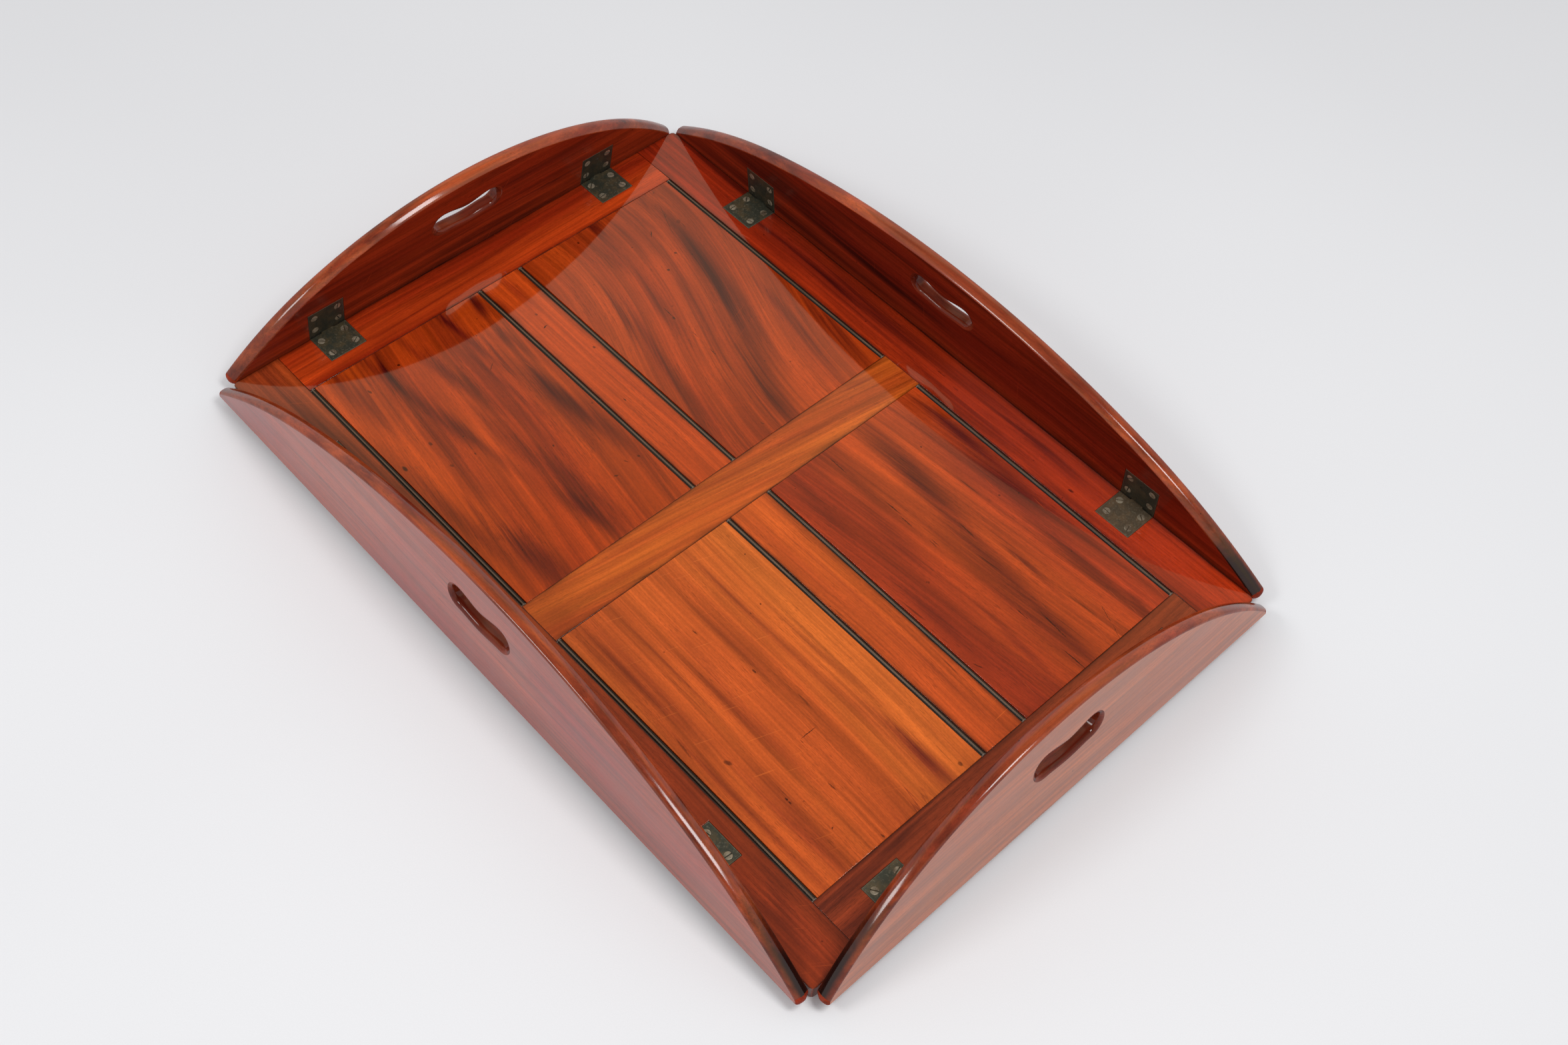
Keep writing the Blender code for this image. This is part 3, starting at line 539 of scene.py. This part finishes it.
def ebonised(name):
    """Black stained strip: brown along its crown, partly wear and partly a painted highlight, pale filler at its
    ends and edges.
    """
    s = Shader(name)
    span = s.node("SeparateXYZ", Vector=s.tree.nodes["Texture Coordinate"].outputs["Generated"]).outputs
    grainy = s.noise(s.mapped(s.coordinates, (20, 700, 700)), detail=3)
    worn = s.noise(s.mapped(s.coordinates, (30, 300, 300)), detail=3)
    chips = s.noise(s.mapped(s.coordinates, (160, 500, 500)), detail=3)
    colour = s.mix(s.span(grainy, 0.35, 0.7), (0.008, 0.006, 0.004), (0.022, 0.013, 0.008))
    crown = s.maths("ABSOLUTE", s.maths("SUBTRACT", span[1], 0.5))
    # Lighter brown along the crown: worn polish and a painted highlight line
    crown_wear_and_highlight = s.maths("MULTIPLY", s.span(crown, 0.08, 0.2, 1.0, 0.0), s.span(worn, 0.3, 0.7, 0.6, 1.0))
    colour = s.mix(crown_wear_and_highlight, colour, (0.15, 0.095, 0.055))
    ends = s.span(s.maths("ABSOLUTE", s.maths("SUBTRACT", span[0], 0.5)), 0.4962, 0.4972)
    filler = s.maths("MULTIPLY", s.span(crown, 0.40, 0.46), s.span(chips, 0.70, 0.76))
    pale = s.maths("MULTIPLY", s.maths("MAXIMUM", ends, filler), s.span(chips, 0.35, 0.5, 0.25, 0.9))
    colour = s.mix(pale, colour, (0.17, 0.13, 0.10))
    s.feed(s.bsdf.inputs["Base Color"], colour)
    s.feed(s.bsdf.inputs["Normal"], s.bump(grainy, 0.15, 0.0002))
    s.feed(s.bsdf.inputs["Roughness"], s.span(worn, 0.3, 0.7, 0.35, 0.5))
    s.bsdf.inputs["Specular IOR Level"].default_value = 0.25
    s.bsdf.inputs["Coat Weight"].default_value = 0.3
    s.bsdf.inputs["Coat Roughness"].default_value = 0.25
    return s.material


def bead_section(start, end):
    """The strip's section: a half round between two quirks, its crown level with the panel."""
    gap = 0.0003
    radius = 0.0015
    floor = base_thickness - 0.0010
    foot = base_thickness - 0.0057
    middle = (start + end) / 2
    first = math.asin((floor - (base_thickness - radius)) / radius)
    points = [(start, foot), (end, foot), (end, floor)]
    for step in range(15):
        angle = first + step / 14 * (math.pi - 2 * first)
        points.append((middle + radius * math.cos(angle), base_thickness - radius + radius * math.sin(angle)))
    return points + [(start, floor)]


bead_finish = ebonised("ebonised_finish")
for node in sorted(nodes):
    if node.endswith("_bead"):
        (x0, x1), (y0, y1) = extent(node)
        strip = lofted([[(x, y, z) for y, z in bead_section(y0, y1)] for x in (x0, x1)])
        piece(node + "_strip", strip, [bead_finish], "base", [node])


# Flaps, in the frame of their hinge axis: X is the height, Y runs along and Z faces inwards


def flap_arcs(half, height, flatness):
    """The crown, shoulder and end arcs: each a centre as (height, along), a radius and its last angle."""
    end_centre = (-end_drop, half - end_radius)
    rise = height - end_radius + end_drop
    crown_radius = ((end_centre[1] ** 2 + rise ** 2) / (2 * rise) + end_radius) * flatness
    crown_angle = math.asin(shoulder_share * half / crown_radius)
    normal = (math.cos(crown_angle), math.sin(crown_angle))
    meeting = (height - crown_radius + crown_radius * normal[0], crown_radius * normal[1])
    away = (end_centre[0] - meeting[0], end_centre[1] - meeting[1])
    depth = -(away[0] * normal[0] + away[1] * normal[1]) - end_radius
    radius = (away[0] ** 2 + away[1] ** 2 - end_radius ** 2) / (2 * depth)
    centre = (meeting[0] - radius * normal[0], meeting[1] - radius * normal[1])
    angle = math.atan2(end_centre[1] - centre[1], end_centre[0] - centre[0])
    return (((height - crown_radius, 0), crown_radius, crown_angle), (centre, radius, angle),
            (end_centre, end_radius, math.pi / 2))


def flap_outline(side, inset):
    flank = []
    start = 0
    arcs = flap_arcs(side["half"], side["height"], side["flatness"])
    for (centre, radius, end), count in zip(arcs, (34, 18, 10)):
        for step in range(1, count + 1):
            angle = start + (end - start) * step / count
            flank.append((centre[0] + (radius - inset) * math.cos(angle),
                          centre[1] + (radius - inset) * math.sin(angle)))
        start = end
    points = [(0, -side["half"] + inset), (0, side["half"] - inset)]
    return points + flank[::-1] + [(side["height"] - inset, 0)] + [(rise, -along) for rise, along in flank]


def hole_outline(level, radius):
    def waist(along, depth):
        return depth * (1 + math.cos(math.pi * along / hole_lobe_spread)) / 2

    steps = 24
    shares = [1 - 2 * step / steps for step in range(1, steps)]
    points = []
    for way in (1, -1):
        for step in range(25):
            angle = math.pi * step / 24
            points.append((level - way * radius * math.cos(angle),
                           way * (hole_lobe_spread + radius * math.sin(angle))))
        for share in shares:
            along = way * share * hole_lobe_spread
            fall = waist(along, hole_top_dip if way > 0 else hole_belly)
            points.append((level + way * (radius - way * fall), along))
    return points


def widened(outline, amount):
    result = []
    for index, (height, along) in enumerate(outline):
        before = outline[index - 1]
        after = outline[(index + 1) % len(outline)]
        run = (after[0] - before[0], after[1] - before[1])
        length = math.hypot(*run)
        result.append((height - run[1] / length * amount, along + run[0] / length * amount))
    return result


def hole_tool(level, radius):
    outline = hole_outline(level, radius)
    flares = [(-0.001, hole_edge_radius + 0.001)]
    for step in range(7):
        angle = step / 6 * math.pi / 2
        flares.append((hole_edge_radius * (1 - math.cos(angle)), hole_edge_radius * (1 - math.sin(angle))))
    layers = flares + [(flap_thickness - depth, flare) for depth, flare in reversed(flares)]
    return lofted([
        [(axis_offset + height, along, barrel_radius - depth) for height, along in widened(outline, flare)]
        for depth, flare in layers
    ])


def flap_shape(side):
    layers = []
    for share, drop in RIM:
        outline = flap_outline(side, drop / 1000)
        step = hinge_edge_step * (0.88 + 0.12 * min(max((share - 0.06) / 0.14, 0), 1))
        outline[:2] = [(-step, along) for _, along in outline[:2]]
        level = barrel_radius - share * flap_thickness
        layers.append([(axis_offset + rise, along, level) for rise, along in outline])
    tools = [hole_tool(*side["hole"])]
    reach = leaf_width / 2 + 0.0003
    for spread in (-side["hinges"], side["hinges"]):
        seat = box((axis_offset - 0.001, axis_offset + leaf_depth + 0.0003), (spread - reach, spread + reach),
                   (-0.0005, 0.003))
        channel = box((-axis_offset - 0.001, 0.0323), (spread - 0.0058, spread + 0.0058), (-0.0032, 0.0005))
        notch = box((-axis_offset - 0.001, barrel_radius + 0.0003), (spread - reach, spread + reach),
                    (-barrel_radius - 0.0003, 0.003))
        tools += [seat, channel, notch]
    mesh = cut(lofted(layers), tools)
    hole_middle = axis_offset + side["hole"][0]
    for face in mesh.polygons:
        x, y, z = face.center
        inside_hole = abs(x - hole_middle) < 0.019 and abs(y) < hole_lobe_spread + 0.018
        flat = abs(face.normal.z) > 0.999
        if flat:
            face.material_index = 3 if face.normal.z < 0 else 0
        elif inside_hole:
            face.material_index = 2
        else:
            face.material_index = 1 if x > axis_offset + 0.0002 else 0
    return mesh


def end_shadow(half, low_end, high_end):
    """Blackens the rim over its last 80 mm towards each end, most on its inner half: painted shade where the flaps
    meet at the corners.
    """
    def tint(s, colour, stain):
        y = s.maths("ADD", s.axes()[1], s.maths("MULTIPLY", s.maths("SUBTRACT", stain, 0.5), 0.05))
        inwards = s.span(s.axes()[2], -0.0112, -0.006, 0.3, 1.0)
        for end, amount in ((-1, low_end), (1, high_end)):
            reach = s.maths("MULTIPLY", y, float(end))
            # Painted shade: the rim darkens towards this end, up to the given amount
            painted_end_shade = s.maths("MULTIPLY", s.span(reach, half - 0.08, half - 0.025, 0.0, amount), inwards)
            colour = s.mix(painted_end_shade, colour, (0.005, 0.003, 0.003))
        return colour
    return tint


def side_place(side):
    outwards = side["reach"] + axis_offset
    place = Matrix.Rotation(side["turn"], 4, "Z") @ Matrix.Translation((outwards, 0, axis_height))
    return place, Matrix.Rotation(-math.radians(90 + side["lean"]), 4, "Y")


FLAP_LOOKS = {
    "front": dict(light=(0.30, 0.032, 0.010), mid=(0.21, 0.021, 0.008), dark=(0.10, 0.011, 0.006), seed=21.3,
                  clouds=0.4),
    "back": dict(light=(0.30, 0.030, 0.008), mid=(0.18, 0.014, 0.005), dark=(0.035, 0.004, 0.003), seed=22.6,
                 clouds=0.4, strokes=(
        (38, 0, 40, 330, 8, 0.7), (62, 120, 52, 260, 12, 0.6), (12, 60, 14, 330, 8, 0.6),
        (30, -20, 34, 160, 5, 0.6), (22, -300, 30, -90, 4, 0.35), (80, 20, 74, 170, 5, 0.5),
        (56, -120, 50, -20, 4, 0.4), (46, 180, 44, 300, 6, 0.5),
    )),
    "left": dict(light=(0.36, 0.040, 0.009), mid=(0.23, 0.018, 0.006), dark=(0.05, 0.006, 0.004), seed=23.2,
                 clouds=0.5, strokes=(
        (30, -250, 34, 250, 5, 0.4), (66, -180, 70, 60, 6, 0.45), (4, -250, 4, 250, 3, 0.5),
        (50, 60, 46, 240, 8, 0.5), (18, 120, 22, 250, 6, 0.45),
    )),
    "right": dict(light=(0.36, 0.048, 0.012), mid=(0.26, 0.028, 0.009), dark=(0.12, 0.014, 0.006), seed=24.9,
                  clouds=0.4),
}
OUTER_LOOKS = {
    "front": dict(light=(0.36, 0.056, 0.018), mid=(0.30, 0.019, 0.008), dark=(0.13, 0.016, 0.008), seed=31.3),
    "back": dict(light=(0.34, 0.050, 0.014), mid=(0.26, 0.032, 0.010), dark=(0.12, 0.014, 0.006), seed=32.6),
    "left": dict(light=(0.38, 0.060, 0.014), mid=(0.29, 0.038, 0.010), dark=(0.12, 0.014, 0.006), seed=33.2),
    "right": dict(light=(0.43, 0.095, 0.013), mid=(0.39, 0.078, 0.011), dark=(0.22, 0.035, 0.008), seed=34.9),
}
# How strongly each flap's rim is blackened at its low and high end: painted shade at the corners
ENDS_IN_PAINTED_SHADE = {"front": (0.35, 0.96), "back": (0.96, 0.2), "left": (0.3, 0.3), "right": (0.96, 0.3)}

for name, side in SIDES.items():
    look = FLAP_LOOKS[name]
    inner = wood(name + "_flap_wood", 1, tone=(1.6, 20), polish=0.25, coat=0.12, **look)
    outer = wood(name + "_outer_wood", 1, tone=(4, 9), clouds=0.12, ribbons=0.95, sheen=0.5, **OUTER_LOOKS[name])
    rim = wood(name + "_rim_wood", 1, light=(0.36, 0.062, 0.015), mid=(0.23, 0.030, 0.009),
               dark=(0.07, 0.009, 0.005), seed=look["seed"] + 5, tone=(5, 60), clouds=0.5,
               tint=end_shadow(side["half"], *ENDS_IN_PAINTED_SHADE[name]), coat=0.13, spots=0.42)
    hole = wood(name + "_hole_wood", 1, light=(0.24, 0.034, 0.011), mid=(0.14, 0.015, 0.006),
                dark=(0.03, 0.005, 0.004), seed=look["seed"] + 9, tone=(12, 60), clouds=0.6, coat=0.08, polish=0.6)
    place, lift = side_place(side)
    piece(name + "_flap_polished", flap_shape(side), [inner, rim, hole, outer], name + "_flap",
          [name + "_flap"], place=place @ lift)


# Hinge leaves and their screws


def leaf_section(direction):
    first = math.pi / 2
    last = 2 * math.pi + math.asin((barrel_radius - leaf_thickness) / barrel_radius)
    far = axis_offset + leaf_depth
    section = [(far, barrel_radius - leaf_thickness), (far, barrel_radius)]
    for step in range(19):
        angle = first + step / 18 * (last - first)
        section.append((barrel_radius * math.cos(angle), barrel_radius * math.sin(angle)))
    return [(direction * x, z) for x, z in section]


def screw_places(direction):
    return [(direction * (axis_offset + row), across)
            for row in (screw_near_row, screw_far_row)
            for across in (-screw_spacing / 2, screw_spacing / 2)]


def leaf_shape(direction):
    half = leaf_width / 2
    body = lofted([[(x, y, z) for x, z in leaf_section(direction)] for y in (-half, half)])
    middle = middle_knuckle_width / 2
    spans = [(-0.03, -middle), (middle, 0.03)] if direction < 0 else [(-middle - 0.0003, middle + 0.0003)]
    reach = barrel_radius + 0.001
    openings = [box((-direction * reach, direction * axis_offset), span, (-reach, reach)) for span in spans]
    seats = [moved(turned([(0.0031, -0.0006), (0.0037, 0.0005)], 36), Matrix.Translation((x, y, barrel_radius)))
             for x, y in screw_places(direction)]
    return cut(body, openings + [joined(seats)])


def screw_shape(direction, turns):
    """Four countersunk heads, each a shallow dome with a slot."""
    heads = []
    profile = [(0.0030, -0.0012), (0.0035, -0.00022), (0.00345, -0.00008), (0.0030, 0.00002), (0.0018, 0.00010),
               (0.0006, 0.00013)]
    for (x, y), turn in zip(screw_places(direction), turns):
        slot = box((-0.005, 0.005), (-0.0005, 0.0005), (-0.00085, 0.002))
        head = cut(turned(profile, 36), [moved(slot, Matrix.Rotation(turn, 4, "Z"))])
        heads.append(moved(head, Matrix.Translation((x, y, barrel_radius))))
    return joined(heads)


brass = dict(base=(0.050, 0.052, 0.036), stain=(0.105, 0.078, 0.040), edge=(0.26, 0.23, 0.16), roughness=0.45,
             metallic=0.5)
warm_brass = dict(base=(0.105, 0.078, 0.048), stain=(0.15, 0.10, 0.055))
# A darker copy of the brass for the flaps' leaves: painted shade, as those leaves stand in the flaps' shade
brass_in_painted_shade = dict(base=(0.032, 0.033, 0.023), stain=(0.066, 0.050, 0.027), edge=(0.19, 0.17, 0.12))
count = 0
for name, side in SIDES.items():
    place, lift = side_place(side)
    for number, spread in ((1, -side["hinges"]), (2, side["hinges"])):
        along = Matrix.Translation((0, spread, 0))
        for kind, direction, body, frame_matrix in (
            ("base_leaf", -1, "base", place @ along),
            ("flap_leaf", 1, name + "_flap", place @ lift @ along),
        ):
            count += 1
            node = f"{name}_{kind}_{number}"
            ends = sorted((direction * (axis_offset - 0.004), direction * (axis_offset + leaf_depth)))
            # Flap leaves take the darker brass: painted shade
            tone = {**brass, **brass_in_painted_shade} if kind == "flap_leaf" else brass
            if node == "back_base_leaf_1":
                tone = {**brass, **warm_brass}
            skin = metal(f"{node}_brass", seed=count * 1.7, outline=(ends, leaf_width / 2), **tone)
            piece(f"{node}_plate", leaf_shape(direction), [skin], body, [node],
                  place=frame_matrix, bevel=0.00015)
            turns = [math.radians((count * 47 + index * 71) % 180) for index in range(4)]
            head = metal(f"{node}_screw_metal", (0.34, 0.29, 0.21), (0.15, 0.11, 0.07), (0.6, 0.54, 0.42), 0.38,
                         count * 2.9, metallic=0.5)
            piece(f"{node}_screws", screw_shape(direction, turns), [head], body, (),
                  place=frame_matrix)

steel = metal("spring_steel_finish", (0.20, 0.20, 0.21), (0.12, 0.09, 0.07), (0.45, 0.45, 0.46), 0.4, 55.1)
for node, item in nodes.items():
    if "hinge_pin" in node or "spring" in node:
        item.data.materials.clear()
        item.data.materials.append(steel)


# Floor, light and camera


def pale_floor():
    s = Shader("pale_floor")
    soft = s.noise(s.coordinates, scale=1.2, detail=2)
    dust = s.noise(s.coordinates, scale=900.0, detail=2)
    colour = s.mix(s.span(soft, 0.3, 0.7), (0.755, 0.757, 0.768), (0.785, 0.787, 0.797))
    s.feed(s.bsdf.inputs["Base Color"], s.mix(s.span(dust, 0.35, 0.65, 0, 0.06), colour, (0.6, 0.6, 0.6)))
    s.bsdf.inputs["Roughness"].default_value = 0.9
    s.bsdf.inputs["Specular IOR Level"].default_value = 0.1
    return s.material


floor = bpy.data.objects.new("floor", lofted([
    [(-6, -6, z), (6, -6, z), (6, 6, z), (-6, 6, z)] for z in (-0.02, 0)
]))
bpy.context.collection.objects.link(floor)
floor.data.materials.append(pale_floor())


def area_light(name, place, target, size, power):
    data = bpy.data.lights.new(name, "AREA")
    data.shape = "RECTANGLE"
    data.size, data.size_y = size
    data.energy = power
    lamp = bpy.data.objects.new(name, data)
    lamp.location = place
    lamp.rotation_euler = (Vector(target) - Vector(place)).to_track_quat("-Z", "Y").to_euler()
    bpy.context.collection.objects.link(lamp)


area_light("front_softbox", (-0.53, -1.43, 1.65), (0, 0, 0), (0.72, 0.45), 11)
area_light("top_softbox", (0.87, 0.2, 2.0), (0, 0, 0), (0.55, 0.72), 18)

world = bpy.data.worlds.new("studio")
bpy.context.scene.world = world
world.use_nodes = True
tree = world.node_tree
direction = tree.nodes.new("ShaderNodeTexCoord").outputs["Generated"]
height = tree.nodes.new("ShaderNodeSeparateXYZ")
tree.links.new(direction, height.inputs[0])
ramp = tree.nodes.new("ShaderNodeValToRGB")
tree.links.new(height.outputs["Z"], ramp.inputs[0])
stops = (
    (0.0, (0.70, 0.70, 0.68)), (0.55, (0.78, 0.70, 0.68)), (0.68, (1.03, 0.88, 0.63)), (0.735, (1.03, 0.88, 0.63)),
    (0.765, (0.76, 0.68, 0.46)), (0.81, (0.46, 0.42, 0.26)), (0.87, (0.24, 0.23, 0.20)), (1.0, (0.18, 0.18, 0.18)),
)
while len(ramp.color_ramp.elements) < len(stops):
    ramp.color_ramp.elements.new(0.5)
for element, (position, colour) in zip(ramp.color_ramp.elements, stops):
    element.position = position
    element.color = (*colour, 1)
mirrored = tree.nodes.new("ShaderNodeMix")
mirrored.data_type = "RGBA"
tree.links.new(tree.nodes.new("ShaderNodeLightPath").outputs["Is Glossy Ray"], mirrored.inputs["Factor"])
mirrored.inputs[6].default_value = (0.60, 0.60, 0.61, 1)
tree.links.new(ramp.outputs[0], mirrored.inputs[7])
tree.links.new(mirrored.outputs[2], tree.nodes["Background"].inputs["Color"])
tree.nodes["Background"].inputs["Strength"].default_value = 1.0

camera_data = bpy.data.cameras.new("camera")
camera_data.lens = 41.02
camera_data.sensor_width = 36
camera_data.sensor_fit = "HORIZONTAL"
camera = bpy.data.objects.new("camera", camera_data)
right = Vector((0.680761, 0.730448, 0.054798))
down = Vector((0.6146, -0.52889, -0.585266))
ahead = Vector((-0.398533, 0.432109, -0.808983))
camera.matrix_world = Matrix.Translation((0.6579, -0.6428, 1.2388)) @ Matrix((
    (right.x, -down.x, -ahead.x), (right.y, -down.y, -ahead.y), (right.z, -down.z, -ahead.z),
)).to_4x4()
bpy.context.collection.objects.link(camera)
bpy.context.scene.camera = camera
bpy.context.scene.view_settings.view_transform = "Standard"
